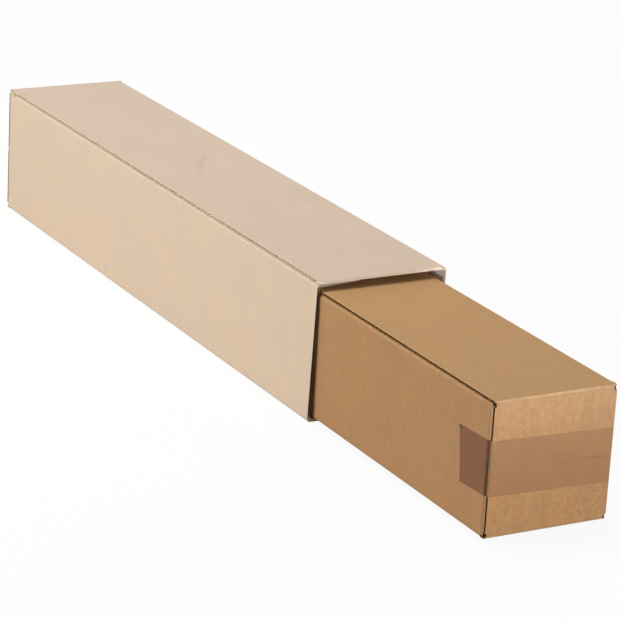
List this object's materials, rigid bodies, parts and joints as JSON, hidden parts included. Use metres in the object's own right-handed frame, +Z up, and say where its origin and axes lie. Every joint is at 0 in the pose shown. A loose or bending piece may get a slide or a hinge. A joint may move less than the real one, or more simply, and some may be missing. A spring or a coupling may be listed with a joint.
{
  "type": "mailing tube",
  "caption": "Square telescoping mailing tube of corrugated board: a pale sleeve with a brown inner box drawn partly out of its mouth, its flapped end closed with brown tape.",
  "frame": {"origin": "middle of the part's footprint as it lies, at floor level", "axes": "+X along the tube towards the inner box's taped end, +Z up, -Y towards the wall below the glued edges"},
  "size_m": [0.9732, 0.134, 0.131],
  "materials": {
    "pale_board": "matte oyster-coloured liner on corrugated board",
    "kraft_board": "matte brown kraft liner on corrugated board",
    "brown_tape": "smooth brown packing tape"
  },
  "bodies": {
    "sleeve": {"sleeve": "pale_board"},
    "inner_box": {"inner_box": "kraft_board", "inner_tape": "brown_tape"}
  },
  "joints": [
    {"name": "draw_out", "type": "slide", "parent": "sleeve", "child": "inner_box", "axis": [1, 0, 0], "range_m": [-0.282, 0.42]}
  ]
}
